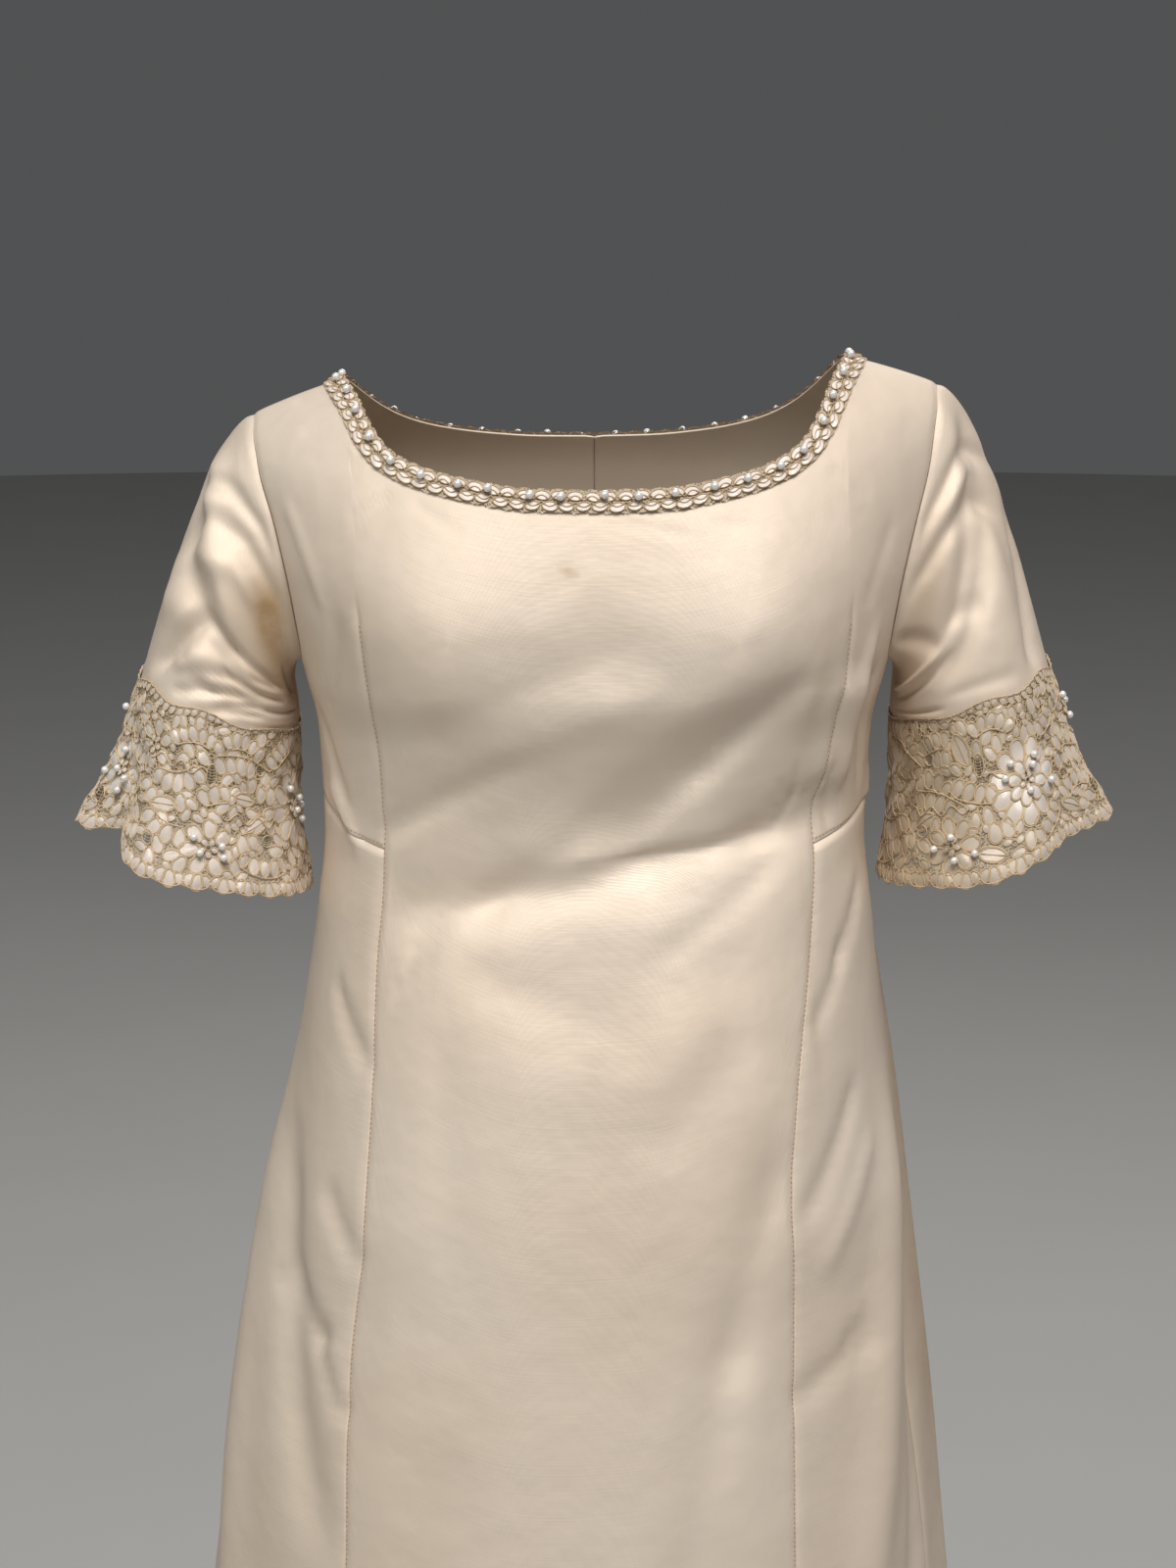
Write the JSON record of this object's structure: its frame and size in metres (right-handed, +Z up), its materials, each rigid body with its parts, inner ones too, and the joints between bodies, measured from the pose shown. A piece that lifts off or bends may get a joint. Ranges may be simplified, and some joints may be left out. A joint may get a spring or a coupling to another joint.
{
  "type": "wedding dress, worn form",
  "caption": "Floor-length empire-line satin wedding dress in its worn form, hollow, with set-in sleeves, lace flounce cuffs and a braided scoop neckline.",
  "frame": {"origin": "midway between the shoulders, at the height of the shoulder line beside the neck, where the wearer holds the dress up", "axes": "+Z up, from hem to shoulders; the front of the dress faces -Y; +X is the wearer's left"},
  "size_m": [0.6881, 0.6494, 1.4346],
  "materials": {
    "satin": "ivory duchess satin, soft sheen",
    "lace": "corded floral lace with satin-filled petals and pearls"
  },
  "bodies": {
    "root": {"front": "satin", "side_front_right": "satin", "side_front_left": "satin", "back_bodice_right": "satin", "back_bodice_left": "satin", "back_skirt_right": "satin", "back_skirt_left": "satin", "sleeve_right": "satin", "sleeve_left": "satin", "cuff_lace_right_front": "lace", "cuff_lace_right_back": "lace", "cuff_lace_left_front": "lace", "cuff_lace_left_back": "lace", "neck_braid_front": "lace", "neck_braid_back": "lace", "back_placket": "satin"}
  },
  "joints": []
}
